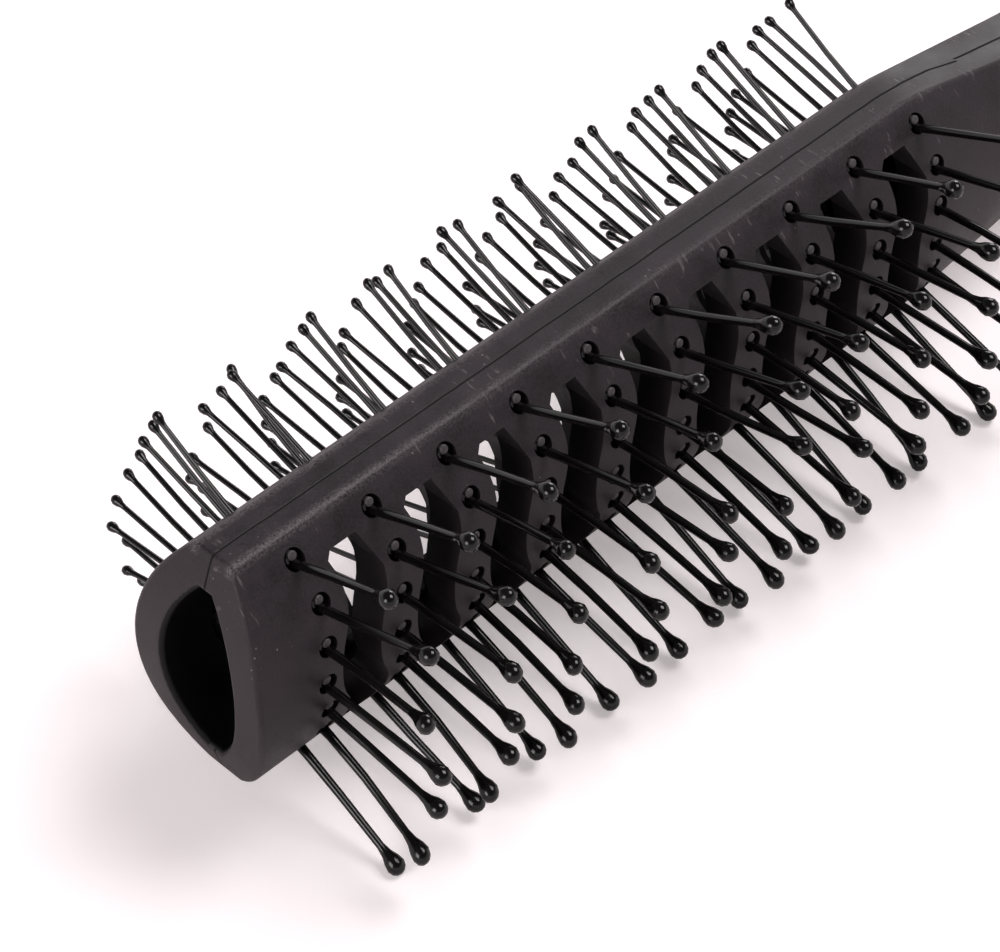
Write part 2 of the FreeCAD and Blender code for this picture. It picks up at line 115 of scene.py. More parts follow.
# Points nearer than this many millimetres are merged, and thinner slivers are dissolved
WELD = 0.001
SLIVER = 0.0005

# Sockets of a Mix node that blends two colours
MIX_FROM, MIX_TO, MIX_RESULT = 6, 7, 2

# The floor lies this many millimetres below the resting plane, because the leaning pins reach that far
FLOOR_DROP = 0.5
# Half the floor's width in metres
FLOOR_HALF_WIDTH = 3.0
# Name, place and width in metres, and power in watts of each soft panel
PANELS = (
    ("overhead", (0.36, -0.24, 1.0), 0.55, 8.8),
    ("handle_rim", (0.9, 0.56, 0.45), 0.4, 3.0),
    ("nose_fill", (-0.8, 0.05, 0.35), 0.4, 3.6),
)


def linear(hex_colour):
    """An sRGB hex colour as linear RGBA."""
    parts = [int(hex_colour[start:start + 2], 16) / 255 for start in (1, 3, 5)]
    return [p / 12.92 if p <= 0.04045 else ((p + 0.055) / 1.055) ** 2.4 for p in parts] + [1.0]


def add(tree, kind, inputs=None, **settings):
    """Add a node with its settings, and set or link its inputs by name or number."""
    node = tree.nodes.new(kind)
    for key, value in settings.items():
        setattr(node, key, value)
    for key, value in (inputs or {}).items():
        socket = node.inputs[key]
        if isinstance(value, bpy.types.NodeSocket):
            tree.links.new(value, socket)
        else:
            socket.default_value = value
    return node


def new_material(name):
    """An empty node material and its tree."""
    material = bpy.data.materials.new(name)
    material.use_nodes = True
    material.node_tree.nodes.clear()
    return material, material.node_tree


def link_object(name, data):
    """An object in the scene for a mesh, a camera or a light."""
    item = bpy.data.objects.new(name, data)
    scene.collection.objects.link(item)
    return item


def brush_place(tree):
    """Object coordinates in the brush frame, in millimetres, so that the seam is at y = 0."""
    place = add(tree, "ShaderNodeTexCoord").outputs["Object"]
    return add(tree, "ShaderNodeMapping", {"Vector": place, "Location": -brush_origin / MM,
                                           "Scale": (1 / MM,) * 3}).outputs[0]


def moulded_shell_plastic():
    """ABS, injection moulded: charcoal with a fine tool grain, a dark parting line, and rubbed edges that
    also carry a painted highlight.
    """
    material, tree = new_material("moulded_abs_matte_grain")
    local = brush_place(tree)
    axes = add(tree, "ShaderNodeSeparateXYZ", {0: local}).outputs
    out = add(tree, "ShaderNodeMath", {0: axes["Y"]}, operation="ABSOLUTE").outputs[0]
    up = add(tree, "ShaderNodeMath", {0: axes["Z"]}, operation="ABSOLUTE").outputs[0]

    # Parting line, 0.25 mm wide, that wanders by less than a tenth of a millimetre
    wander = add(tree, "ShaderNodeTexNoise", {"W": axes["X"], "Scale": 0.15, "Detail": 2.0},
                 noise_dimensions="1D").outputs["Fac"]
    wander = add(tree, "ShaderNodeMapRange", {"Value": wander, "To Min": -0.12, "To Max": 0.12}).outputs[0]
    # Where the head ends, the line runs aside and jumps back
    hook = add(tree, "ShaderNodeMapRange", {"Value": axes["X"], "From Min": HOOK_START,
                                            "From Max": HOOK_END, "To Min": 0.0,
                                            "To Max": HOOK_DEPTH}).outputs[0]
    ahead = add(tree, "ShaderNodeMath", {0: axes["X"], 1: HOOK_END}, operation="LESS_THAN").outputs[0]
    hook = add(tree, "ShaderNodeMath", {0: hook, 1: ahead}, operation="MULTIPLY").outputs[0]
    wander = add(tree, "ShaderNodeMath", {0: wander, 1: hook}, operation="ADD").outputs[0]
    aside = add(tree, "ShaderNodeMath", {0: axes["Y"], 1: wander}, operation="ADD").outputs[0]
    aside = add(tree, "ShaderNodeMath", {0: aside}, operation="ABSOLUTE").outputs[0]
    seam = add(tree, "ShaderNodeMapRange", {"Value": aside, "From Min": 0.09, "From Max": 0.17,
                                            "To Min": 0.9, "To Max": 0.0}).outputs[0]

    # Tool grain of 0.2 mm, and flow marks and handling haze a few millimetres wide
    grain = add(tree, "ShaderNodeTexNoise", {"Vector": local, "Scale": 4.5, "Detail": 3.0,
                                             "Roughness": 0.6}).outputs["Fac"]
    haze = add(tree, "ShaderNodeTexNoise", {"Vector": local, "Scale": 0.22, "Detail": 4.0,
                                            "Roughness": 0.55}).outputs["Fac"]
    mottle = add(tree, "ShaderNodeMath", {0: haze, 1: grain}, operation="ADD").outputs[0]
    mottle = add(tree, "ShaderNodeMapRange", {"Value": mottle, "From Min": 0.7, "From Max": 1.3}).outputs[0]
    tone = add(tree, "ShaderNodeMix", {"Factor": mottle, MIX_FROM: linear("#171316"),
                                       MIX_TO: linear("#302a2e")}, data_type="RGBA").outputs[MIX_RESULT]

    # Lint and rubbed flecks of 0.2 mm, gathered in patches
    cells = add(tree, "ShaderNodeTexVoronoi", {"Vector": local, "Scale": 0.8}).outputs["Distance"]
    fleck = add(tree, "ShaderNodeMapRange", {"Value": cells, "From Min": 0.06, "From Max": 0.1,
                                             "To Min": 0.5, "To Max": 0.0}).outputs[0]
    patch = add(tree, "ShaderNodeMapRange", {"Value": haze, "From Min": 0.56, "From Max": 0.62}).outputs[0]
    fleck = add(tree, "ShaderNodeMath", {0: fleck, 1: patch}, operation="MULTIPLY").outputs[0]
    # Short scuffs across the head, 0.2 mm wide, in the same patches near its long edges
    drawn = add(tree, "ShaderNodeMapping", {"Vector": local, "Scale": (2.4, 0.5, 0.4)}).outputs[0]
    scuff = add(tree, "ShaderNodeTexNoise", {"Vector": drawn, "Scale": 1.0, "Detail": 2.0}).outputs["Fac"]
    scuff = add(tree, "ShaderNodeMapRange", {"Value": scuff, "From Min": 0.6, "From Max": 0.7,
                                             "To Min": 0.0, "To Max": 0.3}).outputs[0]
    outer = add(tree, "ShaderNodeMapRange", {"Value": up, "From Min": SCUFF_START,
                                             "From Max": SCUFF_FULL}).outputs[0]
    scuff = add(tree, "ShaderNodeMath", {0: scuff, 1: outer}, operation="MULTIPLY").outputs[0]
    scuff = add(tree, "ShaderNodeMath", {0: scuff, 1: patch}, operation="MULTIPLY").outputs[0]
    fleck = add(tree, "ShaderNodeMath", {0: fleck, 1: scuff}, operation="MAXIMUM").outputs[0]

    # The band's rounded edges are rubbed pale, most of all at the nose, which is handled most; the pale edge
    # is partly wear and partly a painted highlight along the rounding
    edge = add(tree, "ShaderNodeMath", {0: out, 1: EDGE_OUT}, operation="SUBTRACT").outputs[0]
    edge = add(tree, "ShaderNodeMath", {0: edge}, operation="ABSOLUTE").outputs[0]
    edge = add(tree, "ShaderNodeMapRange", {"Value": edge, "From Min": 0.1, "From Max": 0.8,
                                            "To Min": 1.0, "To Max": 0.0}).outputs[0]
    top = add(tree, "ShaderNodeMapRange", {"Value": up, "From Min": BAND_START,
                                           "From Max": BAND_FULL}).outputs[0]
    edge = add(tree, "ShaderNodeMath", {0: edge, 1: top}, operation="MULTIPLY").outputs[0]
    worn_and_sheen = add(tree, "ShaderNodeMapRange", {"Value": grain, "From Min": 0.35, "From Max": 0.75,
                                            "To Min": 0.0, "To Max": 0.45}).outputs[0]
    edge = add(tree, "ShaderNodeMath", {0: edge, 1: worn_and_sheen}, operation="MULTIPLY").outputs[0]
    nose = add(tree, "ShaderNodeMapRange", {"Value": axes["X"], "From Min": 0.0, "From Max": NOSE_WEAR_END,
                                            "To Min": 1.0, "To Max": 0.3}).outputs[0]
    edge = add(tree, "ShaderNodeMath", {0: edge, 1: nose}, operation="MULTIPLY").outputs[0]
    wear_and_edge_sheen = add(tree, "ShaderNodeMath", {0: fleck, 1: edge}, operation="MAXIMUM").outputs[0]
    # Pale flecks, edge wear and the painted edge highlight lighten the tone
    tone = add(tree, "ShaderNodeMix", {"Factor": wear_and_edge_sheen, MIX_FROM: tone, MIX_TO: linear("#8f898c")},
               data_type="RGBA").outputs[MIX_RESULT]
    tone = add(tree, "ShaderNodeMix", {"Factor": seam, MIX_FROM: tone, MIX_TO: linear("#050405")},
               data_type="RGBA").outputs[MIX_RESULT]

    rough = add(tree, "ShaderNodeMapRange", {"Value": mottle, "To Min": 0.36, "To Max": 0.6}).outputs[0]
    rough = add(tree, "ShaderNodeMath", {0: rough, 1: seam}, operation="MAXIMUM").outputs[0]
    # The parting line is a groove two grains deep
    groove = add(tree, "ShaderNodeMath", {0: seam, 1: -2.0, 2: grain}, operation="MULTIPLY_ADD").outputs[0]
    bump = add(tree, "ShaderNodeBump", {"Height": groove, "Strength": 0.6,
                                        "Distance": 0.04 * MM}).outputs[0]
    shader = add(tree, "ShaderNodeBsdfPrincipled", {"Base Color": tone, "Roughness": rough, "Normal": bump,
                                                    "IOR": 1.5, "Specular IOR Level": 0.26})
    add(tree, "ShaderNodeOutputMaterial", {"Surface": shader.outputs[0]})
    return material


def painted_shade_inner_plastic():
    """The same ABS on the faces inside the head, coloured with painted shade: black deep in the tunnel, a
    little paler towards the face.
    """
    material, tree = new_material("moulded_abs_painted_shade_inside")
    local = brush_place(tree)
    axes = add(tree, "ShaderNodeSeparateXYZ", {0: local}).outputs
    out = add(tree, "ShaderNodeMath", {0: axes["Y"]}, operation="ABSOLUTE").outputs[0]
    rise = add(tree, "ShaderNodeMath", {0: out, 1: -FACE_CENTRE}, operation="ADD").outputs[0]
    spot = add(tree, "ShaderNodeCombineXYZ", {"X": axes["Z"], "Y": rise}).outputs[0]
    radius = add(tree, "ShaderNodeVectorMath", {0: spot}, operation="LENGTH").outputs["Value"]
    # Painted shade: the colour darkens from the face's edge to black deep in the tunnel and vents
    near = add(tree, "ShaderNodeMapRange", {"Value": radius, "From Min": TUNNEL_RADIUS + 0.3,
                                            "From Max": FACE_RADIUS}).outputs[0]
    tone = add(tree, "ShaderNodeMix", {"Factor": near, MIX_FROM: linear("#030303"),
                                       MIX_TO: linear("#262124")}, data_type="RGBA").outputs[MIX_RESULT]
    # Faint drawn marks, 1 mm apart
    marks = add(tree, "ShaderNodeTexNoise", {"Vector": local, "Scale": 1.0, "Detail": 2.0}).outputs["Fac"]
    rough = add(tree, "ShaderNodeMapRange", {"Value": marks, "To Min": 0.4, "To Max": 0.6}).outputs[0]
    shader = add(tree, "ShaderNodeBsdfPrincipled", {"Base Color": tone, "Roughness": rough, "IOR": 1.5,
                                                    "Specular IOR Level": 0.18})
    add(tree, "ShaderNodeOutputMaterial", {"Surface": shader.outputs[0]})
    return material


def gloss_bristle_nylon():
    """Nylon 6, injection moulded in a polished tool: deep black with sharp, narrow lights."""
    material, tree = new_material("moulded_nylon_gloss_black")
    place = add(tree, "ShaderNodeTexCoord").outputs["Object"]
    # Faint unevenness of about 3 mm
    cloud = add(tree, "ShaderNodeTexNoise", {"Vector": place, "Scale": 1 / (3 * MM),
                                             "Detail": 1.0}).outputs["Fac"]
    rough = add(tree, "ShaderNodeMapRange", {"Value": cloud, "From Min": 0.3, "From Max": 0.7,
                                             "To Min": 0.1, "To Max": 0.18}).outputs[0]
    tone = add(tree, "ShaderNodeMix", {"Factor": cloud, MIX_FROM: linear("#060506"),
                                       MIX_TO: linear("#0c0a0b")}, data_type="RGBA").outputs[MIX_RESULT]
    shader = add(tree, "ShaderNodeBsdfPrincipled", {"Base Color": tone, "Roughness": rough, "IOR": 1.53,
                                                    "Specular IOR Level": 0.3})
    add(tree, "ShaderNodeOutputMaterial", {"Surface": shader.outputs[0]})
    return material


def gate_nylon_painted_light():
    """Nylon 6, cut off at the mould's gate: the torn end is dull, and its paler grey is painted light for
    the light that its flat top catches.
    """
    material, tree = new_material("cut_nylon_dull_painted_light_grey")
    place = add(tree, "ShaderNodeTexCoord").outputs["Object"]
    # Tear marks of 0.3 mm
    tear = add(tree, "ShaderNodeTexNoise", {"Vector": place, "Scale": 1 / (0.3 * MM),
                                            "Detail": 2.0}).outputs["Fac"]
    # The pale grey is painted light on the gate's top, not the nylon's own colour
    tone = add(tree, "ShaderNodeMix", {"Factor": tear, MIX_FROM: linear("#1e1b1c"),
                                       MIX_TO: linear("#524d4f")}, data_type="RGBA").outputs[MIX_RESULT]
    shader = add(tree, "ShaderNodeBsdfPrincipled", {"Base Color": tone, "Roughness": 0.55, "IOR": 1.53})
    add(tree, "ShaderNodeOutputMaterial", {"Surface": shader.outputs[0]})
    return material


def is_inner(face):
    """Whether a face of a shell lies in the tunnel, a vent, a seat or a hole, behind the outer skin."""
    place = (face.center - brush_origin) / MM
    outward = Vector((0, math.copysign(abs(place.y) - FACE_CENTRE, place.y), place.z))
    facing = face.normal.dot(outward.normalized())
    in_tunnel = outward.length < TUNNEL_RADIUS + TUNNEL_SLACK and facing < TUNNEL_FACING
    among_vents = abs(place.z) < VENT_REACH and place.x > FIRST_HOLE
    behind_face = among_vents and outward.length < FACE_RADIUS - FACE_SLACK and facing < FACE_FACING
    return place.x < HEAD_END and (in_tunnel or behind_face)


def smooth_shell(node_name, outer, inner):
    """A merged copy of a half shell, shaded evenly over its curves, that stands for the node."""
    form = bmesh.new()
    form.from_mesh(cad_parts[node_name].data)
    bmesh.ops.remove_doubles(form, verts=form.verts[:], dist=WELD * MM)
    bmesh.ops.dissolve_degenerate(form, edges=form.edges[:], dist=SLIVER * MM)
    mesh = bpy.data.meshes.new(node_name + "_moulding")
    form.to_mesh(mesh)
    form.free()
    if "custom_normal" in mesh.attributes:
        mesh.attributes.remove(mesh.attributes["custom_normal"])
    mesh.shade_smooth()
    mesh.set_sharp_from_angle(angle=math.radians(SMOOTH_ANGLE))
    mesh.materials.append(outer)
    mesh.materials.append(inner)
    # Faces in the tunnel, vents, seats and holes get the material with painted shade
    for face in mesh.polygons:
        face.material_index = 1 if is_inner(face) else 0
    piece = link_object(node_name + "_moulding", mesh)
    even = piece.modifiers.new("even_shading", "WEIGHTED_NORMAL")
    even.keep_sharp = True
    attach(piece, "root")
    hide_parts(node_name)


def turned_mesh(name, profile, sides, length, aside=0.0):
    """A turned form along Z from (height, radius) pairs in millimetres; a radius of zero closes it."""
    form = bmesh.new()
    rings = []
    for height, radius in profile:
        if radius == 0:
            rings.append([form.verts.new((0, aside * MM, height * MM))])
            continue
        ring = []
        for side in range(sides):
            turn = 2 * math.pi * side / sides
            spot = Vector((radius * math.cos(turn), radius * math.sin(turn) + aside, height))
            ring.append(form.verts.new(spot * MM))
        rings.append(ring)
    for lower, upper in zip(rings, rings[1:]):
        for side in range(sides):
            after = (side + 1) % sides
            if len(upper) == 1:
                form.faces.new((lower[side], lower[after], upper[0]))
            elif len(lower) == 1:
                form.faces.new((lower[0], upper[after], upper[side]))
            else:
                form.faces.new((lower[side], lower[after], upper[after], upper[side]))
    bmesh.ops.recalc_face_normals(form, faces=form.faces[:])
    mesh = bpy.data.meshes.new(name)
    form.to_mesh(mesh)
    form.free()
    height = mesh.attributes.new("height", "FLOAT", "POINT")
    for vertex in mesh.vertices:
        height.data[vertex.index].value = max(0.0, vertex.co.z / (length * MM))
    return link_object(name, mesh)


def pin_form(side_name, size):
    """A tapered pin with a teardrop ball, its root behind the face and to one side of its hole."""
    shaft, ball, length = size["shaft"] / 2, size["ball"] / 2, size["length"]
    profile = [
        (-SKIN, 0), (-SKIN, 1.2 * shaft), (-COLLAR_DROP, 1.2 * shaft), (0.06 * length, 1.08 * shaft),
        (0.4 * length, shaft), (length - 2.5 * ball, 0.95 * shaft), (length - 1.5 * ball, 0.58 * ball),
        (length - 0.75 * ball, 0.87 * ball), (length, ball), (length + 0.55 * ball, 0.82 * ball),
        (length + 0.88 * ball, 0.46 * ball), (length + ball, 0),
    ]
    return turned_mesh(side_name + "_pin_form", profile, PIN_SIDES, length, size["aside"])


def collar_form(side_name, size):
    """The low flange round a pin's root, sunk in its hole."""
    radius, length = size["collar"] / 2, size["length"]
    foot = -SKIN - BAR_THICKNESS / 2
    profile = [
        (foot, 0), (foot, radius), (-COLLAR_DROP - COLLAR_ROUND, radius), (-COLLAR_DROP, 0.86 * radius),
        (-COLLAR_DROP, 0),
    ]
    return turned_mesh(side_name + "_collar_form", profile, COLLAR_SIDES, length)


def stub_form(side_name, size):
    """The cut gate beside a pin's root, a short peg with a flat top just under the face."""
    radius, length = STUB_RADIUS * size["collar"], size["length"]
    profile = [
        (-SKIN, 0), (-SKIN, radius), (-STUB_DROP - STUB_ROUND, radius), (-STUB_DROP, 0.85 * radius),
        (-STUB_DROP, 0),
    ]
    stub = turned_mesh(side_name + "_stub_form", profile, STUB_SIDES, length, STUB_ASIDE * size["collar"])
    cut = stub.data.attributes.new("cut", "FLOAT", "POINT")
    for value in cut.data:
        value.value = 1.0
    return stub


def wave(across):
    """How far a rib swings from its row at a height across the head."""
    radius = (WAVE_QUARTER ** 2 + WAVE_HEIGHT ** 2) / (2 * WAVE_HEIGHT)
    if abs(across) < WAVE_QUARTER:
        return radius - WAVE_HEIGHT - math.sqrt(radius ** 2 - across ** 2)
    return WAVE_HEIGHT - radius + math.sqrt(radius ** 2 - (abs(across) - 2 * WAVE_QUARTER) ** 2)


def bar_form(side_name):
    """The curved bar that carries one row of pins behind its rib, in the rib's wave."""
    outer, inner = FACE_RADIUS - SKIN, FACE_RADIUS - SKIN - BAR_THICKNESS
    reach = math.asin(BAR_HALF_SPAN / outer)
    form = bmesh.new()
    rings = []
    for step in range(BAR_STEPS + 1):
        turn = reach * (2 * step / BAR_STEPS - 1)
        ring = []
        for radius, along in ((outer, -1), (outer, 1), (inner, 1), (inner, -1)):
            across = radius * math.sin(turn)
            out = FACE_CENTRE + radius * math.cos(turn)
            swing = wave(across) + along * BAR_WIDTH / 2
            ring.append(form.verts.new((swing * MM, -out * MM, across * MM)))
        rings.append(ring)
    for lower, upper in zip(rings, rings[1:]):
        for corner in range(4):
            after = (corner + 1) % 4
            form.faces.new((lower[corner], lower[after], upper[after], upper[corner]))
    form.faces.new(rings[0])
    form.faces.new(rings[-1])
    bmesh.ops.recalc_face_normals(form, faces=form.faces[:])
    mesh = bpy.data.meshes.new(side_name + "_bar_form")
    form.to_mesh(mesh)
    form.free()
    return link_object(side_name + "_bar_form", mesh)


BRISTLE_INPUTS = (
    ("Pin", "NodeSocketObject"), ("Collar", "NodeSocketObject"), ("Stub", "NodeSocketObject"),
    ("Bar", "NodeSocketObject"), ("Rows", "NodeSocketInt"), ("Columns", "NodeSocketInt"),
    ("Row Pitch", "NodeSocketFloat"), ("Column Pitch", "NodeSocketFloat"), ("Fan Angle", "NodeSocketFloat"),
    ("Face Radius", "NodeSocketFloat"), ("Face Centre", "NodeSocketFloat"), ("Stagger", "NodeSocketFloat"),
    ("Lean", "NodeSocketVector"), ("Wander", "NodeSocketVector"), ("Seed", "NodeSocketInt"),
    ("Turn", "NodeSocketVector"), ("Origin", "NodeSocketVector"), ("Material", "NodeSocketMaterial"),
    ("Cut Material", "NodeSocketMaterial"),
)


def bristle_tree():
    """Rows of fanned, slightly bent pins with their collars, cut gates and bars."""
    tree = bpy.data.node_groups.new("bristle_rows", "GeometryNodeTree")
    tree.interface.new_socket("Geometry", in_out="OUTPUT", socket_type="NodeSocketGeometry")
    for name, kind in BRISTLE_INPUTS:
        tree.interface.new_socket(name, in_out="INPUT", socket_type=kind)
    size = tree.nodes.new("NodeGroupInput").outputs

    # Row and column of each pin, the columns counted from the middle one
    index = add(tree, "GeometryNodeInputIndex").outputs[0]
    total = add(tree, "ShaderNodeMath", {0: size["Rows"], 1: size["Columns"]},
                operation="MULTIPLY").outputs[0]
    share = add(tree, "ShaderNodeMath", {0: index, 1: size["Columns"]}, operation="DIVIDE").outputs[0]
    row = add(tree, "ShaderNodeMath", {0: share}, operation="FLOOR").outputs[0]
    rest = add(tree, "ShaderNodeMath", {0: index, 1: size["Columns"]}, operation="MODULO").outputs[0]
    last = add(tree, "ShaderNodeMath", {0: size["Columns"], 1: 1.0}, operation="SUBTRACT").outputs[0]
    half = add(tree, "ShaderNodeMath", {0: last, 1: 2.0}, operation="DIVIDE").outputs[0]
    column = add(tree, "ShaderNodeMath", {0: rest, 1: half}, operation="SUBTRACT").outputs[0]
    fraction = add(tree, "ShaderNodeMath", {0: column, 1: half}, operation="DIVIDE").outputs[0]

    # Place on the head's face, in a wave of one and a half turns across the row
    angle = add(tree, "ShaderNodeMath", {0: fraction, 1: size["Fan Angle"]},
                operation="MULTIPLY").outputs[0]
    across = add(tree, "ShaderNodeMath", {0: column, 1: size["Column Pitch"]},
                 operation="MULTIPLY").outputs[0]
    square = add(tree, "ShaderNodeMath", {0: across, 1: across}, operation="MULTIPLY").outputs[0]
    radius = add(tree, "ShaderNodeMath", {0: size["Face Radius"], 1: 2.0}, operation="POWER").outputs[0]
    inside = add(tree, "ShaderNodeMath", {0: radius, 1: square}, operation="SUBTRACT").outputs[0]
    rise = add(tree, "ShaderNodeMath", {0: inside}, operation="SQRT").outputs[0]
    out = add(tree, "ShaderNodeMath", {0: rise, 1: size["Face Centre"]}, operation="ADD").outputs[0]
    front = add(tree, "ShaderNodeMath", {0: out, 1: -1.0}, operation="MULTIPLY").outputs[0]
    phase = add(tree, "ShaderNodeMath", {0: fraction, 1: 1.5 * math.pi}, operation="MULTIPLY").outputs[0]
    swing = add(tree, "ShaderNodeMath", {0: phase}, operation="COSINE").outputs[0]
    shift = add(tree, "ShaderNodeMath", {0: swing, 1: size["Stagger"]}, operation="MULTIPLY").outputs[0]
    start = add(tree, "ShaderNodeMath", {0: row, 1: size["Row Pitch"]}, operation="MULTIPLY").outputs[0]
    along = add(tree, "ShaderNodeMath", {0: start, 1: shift}, operation="SUBTRACT").outputs[0]
    root = add(tree, "ShaderNodeCombineXYZ", {"X": along, "Y": front, "Z": across}).outputs[0]
    points = add(tree, "GeometryNodePoints", {"Count": total, "Position": root}).outputs[0]

    # Every pin leans and wanders a little, and bends towards its tip
    less = add(tree, "ShaderNodeVectorMath", {0: size["Wander"], 1: (-1, -1, -1)},
               operation="MULTIPLY").outputs[0]
    chance = add(tree, "FunctionNodeRandomValue", {"Min": less, "Max": size["Wander"], "ID": index,
                                                   "Seed": size["Seed"]},
                 data_type="FLOAT_VECTOR").outputs[0]
    sway = add(tree, "ShaderNodeVectorMath", {0: size["Lean"], 1: chance}, operation="ADD").outputs[0]
    marked = add(tree, "GeometryNodeStoreNamedAttribute", {"Geometry": points, "Name": "sway",
                                                           "Value": sway},
                 data_type="FLOAT_VECTOR", domain="POINT").outputs[0]
    upright = add(tree, "ShaderNodeMath", {0: math.pi / 2, 1: angle}, operation="SUBTRACT").outputs[0]
    euler = add(tree, "ShaderNodeCombineXYZ", {"X": upright}).outputs[0]
    turned = add(tree, "FunctionNodeEulerToRotation", {0: euler}).outputs[0]
    pieces = []
    for name in ("Pin", "Collar", "Stub"):
        form = add(tree, "GeometryNodeObjectInfo", {"Object": size[name]}).outputs["Geometry"]
        placed = add(tree, "GeometryNodeInstanceOnPoints", {"Points": marked, "Instance": form,
                                                            "Rotation": turned}).outputs[0]
        pieces.append(add(tree, "GeometryNodeRealizeInstances", {0: placed}).outputs[0])
    pins, collars, stubs = pieces
    height = add(tree, "GeometryNodeInputNamedAttribute", {"Name": "height"}, data_type="FLOAT").outputs[0]
    bend = add(tree, "ShaderNodeMath", {0: height, 1: BEND_POWER}, operation="POWER").outputs[0]
    kept = add(tree, "GeometryNodeInputNamedAttribute", {"Name": "sway"},
               data_type="FLOAT_VECTOR").outputs[0]
    moved = add(tree, "ShaderNodeVectorMath", {0: kept, "Scale": bend}, operation="SCALE").outputs[0]
    bent = add(tree, "GeometryNodeSetPosition", {"Geometry": pins, "Offset": moved}).outputs[0]
    smooth = [add(tree, "GeometryNodeSetShadeSmooth", {"Geometry": item}).outputs[0]
              for item in (bent, collars)]

    # One bar behind each row
    bar_along = add(tree, "ShaderNodeMath", {0: index, 1: size["Row Pitch"]},
                    operation="MULTIPLY").outputs[0]
    bar_root = add(tree, "ShaderNodeCombineXYZ", {"X": bar_along}).outputs[0]
    bar_points = add(tree, "GeometryNodePoints", {"Count": size["Rows"], "Position": bar_root}).outputs[0]
    bar = add(tree, "GeometryNodeObjectInfo", {"Object": size["Bar"]}).outputs["Geometry"]
    bars = add(tree, "GeometryNodeInstanceOnPoints", {"Points": bar_points, "Instance": bar}).outputs[0]

    joined = add(tree, "GeometryNodeJoinGeometry")
    for item in (*smooth, stubs, bars):
        tree.links.new(item, joined.inputs[0])
    aside = add(tree, "FunctionNodeEulerToRotation", {0: size["Turn"]}).outputs[0]
    placed = add(tree, "GeometryNodeTransform", {"Geometry": joined.outputs[0],
                                                 "Translation": size["Origin"],
                                                 "Rotation": aside}).outputs[0]
    real = add(tree, "GeometryNodeRealizeInstances", {0: placed}).outputs[0]
    dressed = add(tree, "GeometryNodeSetMaterial", {"Geometry": real,
                                                    "Material": size["Material"]}).outputs[0]
    cut = add(tree, "GeometryNodeInputNamedAttribute", {"Name": "cut"}, data_type="FLOAT").outputs[0]
    is_cut = add(tree, "FunctionNodeCompare", {0: cut, 1: 0.5}, operation="GREATER_THAN").outputs[0]
    dressed = add(tree, "GeometryNodeSetMaterial", {"Geometry": dressed, "Selection": is_cut,
                                                    "Material": size["Cut Material"]}).outputs[0]
    finish = tree.nodes.new("NodeGroupOutput")
    tree.links.new(dressed, finish.inputs[0])
    return tree


def make_bristles(side_name, tree, material, cut_material):
    """All bristle rows of one side as a plain mesh that stands for that side's strips."""
    size = SIDES[side_name]
    forms = {"Pin": pin_form(side_name, size), "Collar": collar_form(side_name, size),
             "Stub": stub_form(side_name, size), "Bar": bar_form(side_name)}
    values = {
        **forms, "Rows": ROWS, "Columns": size["columns"], "Row Pitch": ROW_PITCH * MM,
        "Column Pitch": size["pitch"] * MM, "Fan Angle": math.radians(FAN_ANGLE),
        "Face Radius": FACE_RADIUS * MM, "Face Centre": FACE_CENTRE * MM, "Stagger": size["stagger"] * MM,
        "Lean": [value * MM for value in size["lean"]], "Wander": [value * MM for value in size["wander"]],
        "Seed": size["seed"], "Turn": (math.radians(size["turn"]), 0.0, 0.0), "Origin": tuple(brush_origin),
        "Material": material, "Cut Material": cut_material,
    }
    maker = link_object(side_name + "_maker", bpy.data.meshes.new(side_name + "_maker"))
    modifier = maker.modifiers.new("rows", "NODES")
    modifier.node_group = tree
    for item in tree.interface.items_tree:
        if item.in_out == "INPUT":
            modifier[item.identifier] = values[item.name]
    scene.view_layers[0].update()
    made = maker.evaluated_get(bpy.context.evaluated_depsgraph_get())
    mesh = bpy.data.meshes.new_from_object(made)
    maker.modifiers.remove(modifier)
    for item in (maker, *forms.values()):
        bpy.data.objects.remove(item)
    piece = link_object(side_name + "_bristles", mesh)
    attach(piece, "root")
    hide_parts(*(f"{side_name}_bristle_strip_{row:02d}" for row in range(1, ROWS + 1)))


def make_camera():
    """The photograph's viewpoint."""
    data = bpy.data.cameras.new("camera")
    data.sensor_fit = "HORIZONTAL"
    data.sensor_width = 36.0
    data.lens = 138.06
    data.clip_start = 0.01
    holder = link_object("camera", data)
    right = Vector((0.701607, -0.712484, 0.010641))
    up = Vector((0.499704, 0.502611, 0.705463))
    back = Vector((-0.507979, -0.489640, 0.708667))
    stand = brush_origin + Vector((-164.760, -189.623, 272.994)) * MM
    holder.matrix_world = Matrix.Translation(stand) @ Matrix((right, up, back)).transposed().to_4x4()
    scene.camera = holder


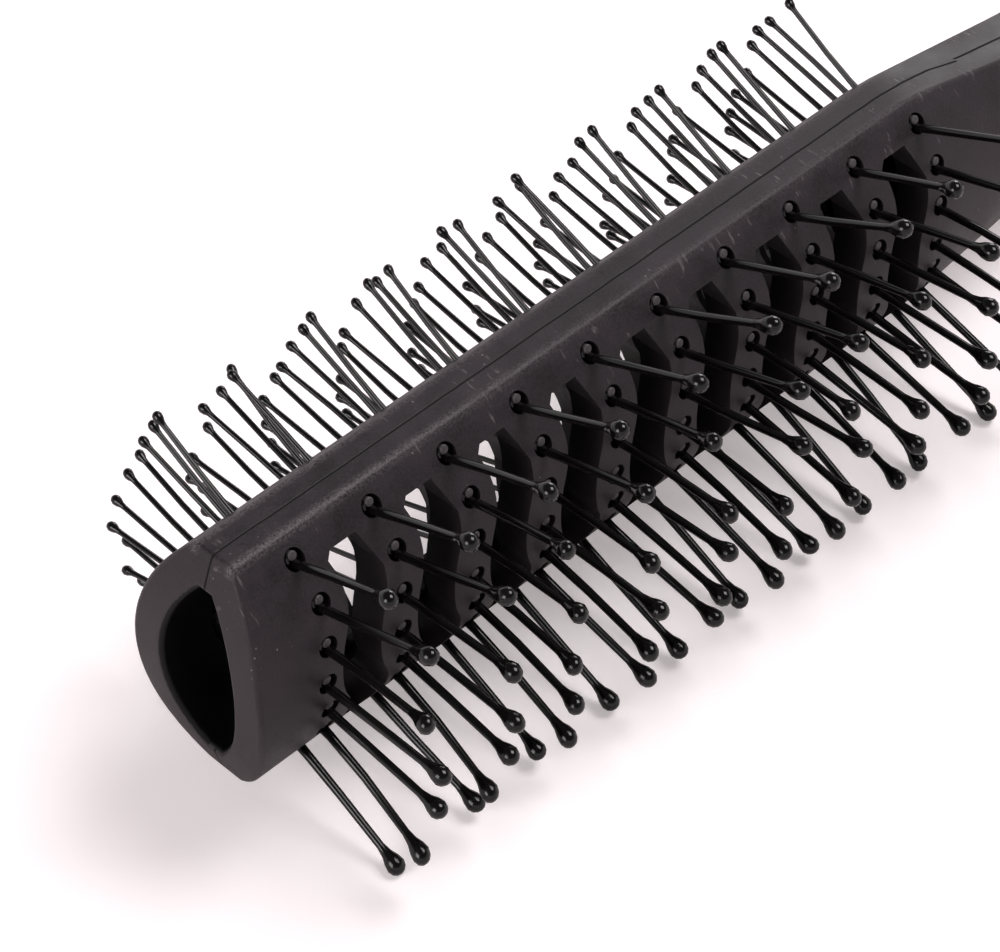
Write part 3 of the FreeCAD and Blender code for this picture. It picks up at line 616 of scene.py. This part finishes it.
def make_surroundings():
    """A white sweep under a dark ceiling, as reflections see it, and a dim rosy light on dull surfaces."""
    world = bpy.data.worlds.new("studio")
    scene.world = world
    world.use_nodes = True
    tree = world.node_tree
    tree.nodes.clear()
    path = add(tree, "ShaderNodeLightPath").outputs
    seen = add(tree, "ShaderNodeMath", {0: path["Is Camera Ray"], 1: path["Is Glossy Ray"]},
               operation="MAXIMUM").outputs[0]
    way = add(tree, "ShaderNodeTexCoord").outputs["Generated"]
    height = add(tree, "ShaderNodeSeparateXYZ", {0: way}).outputs["Z"]
    level = add(tree, "ShaderNodeMapRange", {"Value": height, "From Min": 0.2, "From Max": 0.5,
                                             "To Min": 1.0, "To Max": 0.15},
                interpolation_type="SMOOTHSTEP").outputs[0]
    # The camera sees white at every height
    level = add(tree, "ShaderNodeMath", {0: level, 1: path["Is Camera Ray"]},
                operation="MAXIMUM").outputs[0]
    dim = add(tree, "ShaderNodeBackground", {"Color": linear("#ffe4e8"), "Strength": 0.22}).outputs[0]
    white = add(tree, "ShaderNodeBackground", {"Color": linear("#ffffff"), "Strength": level}).outputs[0]
    mixed = add(tree, "ShaderNodeMixShader", {0: seen, 1: dim, 2: white}).outputs[0]
    add(tree, "ShaderNodeOutputWorld", {"Surface": mixed})


def make_panels():
    """Soft panels overhead, behind on the handle's side, and ahead of the nose."""
    for name, place, width, power in PANELS:
        data = bpy.data.lights.new(name, "AREA")
        data.shape = "SQUARE"
        data.size = width
        data.energy = power
        data.color = linear("#fffbfc")[:3]
        panel = link_object(name, data)
        panel.location = place
        panel.rotation_euler = (-Vector(place)).to_track_quat("-Z", "Y").to_euler()


def matte_white_paper():
    """Uncoated paper: white, dull and a little uneven."""
    material, tree = new_material("matte_white_paper")
    path = add(tree, "ShaderNodeLightPath").outputs
    place = add(tree, "ShaderNodeTexCoord").outputs["Object"]
    # Clouds of fibre, sixty to the metre, drawn coarser than real ones so that they show
    fibre = add(tree, "ShaderNodeTexNoise", {"Vector": place, "Scale": 60.0, "Detail": 3.0}).outputs["Fac"]
    rough = add(tree, "ShaderNodeMapRange", {"Value": fibre, "To Min": 0.85, "To Max": 0.95}).outputs[0]
    shader = add(tree, "ShaderNodeBsdfPrincipled", {"Base Color": linear("#f4f0f1"), "Roughness": rough,
                                                    "Specular IOR Level": 0.1}).outputs[0]
    # The camera sees it bright, as in a picture exposed for a black object
    glow = add(tree, "ShaderNodeMath", {0: path["Is Camera Ray"], 1: 0.3}, operation="MULTIPLY").outputs[0]
    light = add(tree, "ShaderNodeEmission", {"Color": linear("#fffafa"), "Strength": glow}).outputs[0]
    both = add(tree, "ShaderNodeAddShader", {0: shader, 1: light}).outputs[0]
    add(tree, "ShaderNodeOutputMaterial", {"Surface": both})
    return material


def make_floor():
    """A wide sheet of paper under the brush."""
    half = FLOOR_HALF_WIDTH
    mesh = bpy.data.meshes.new("floor")
    corners = [(-half, -half, 0), (half, -half, 0), (half, half, 0), (-half, half, 0)]
    mesh.from_pydata(corners, [], [(0, 1, 2, 3)])
    mesh.materials.append(matte_white_paper())
    floor = link_object("floor", mesh)
    floor.location.z = -FLOOR_DROP * MM


make_camera()
make_surroundings()
make_panels()
make_floor()

# The second material, for the inner faces, carries painted shade
grained, inner = moulded_shell_plastic(), painted_shade_inner_plastic()
for name in ("front_shell", "back_shell"):
    smooth_shell(name, grained, inner)

nylon, gate_nylon_with_painted_light = gloss_bristle_nylon(), gate_nylon_painted_light()
rows = bristle_tree()
for side_name in SIDES:
    make_bristles(side_name, rows, nylon, gate_nylon_with_painted_light)
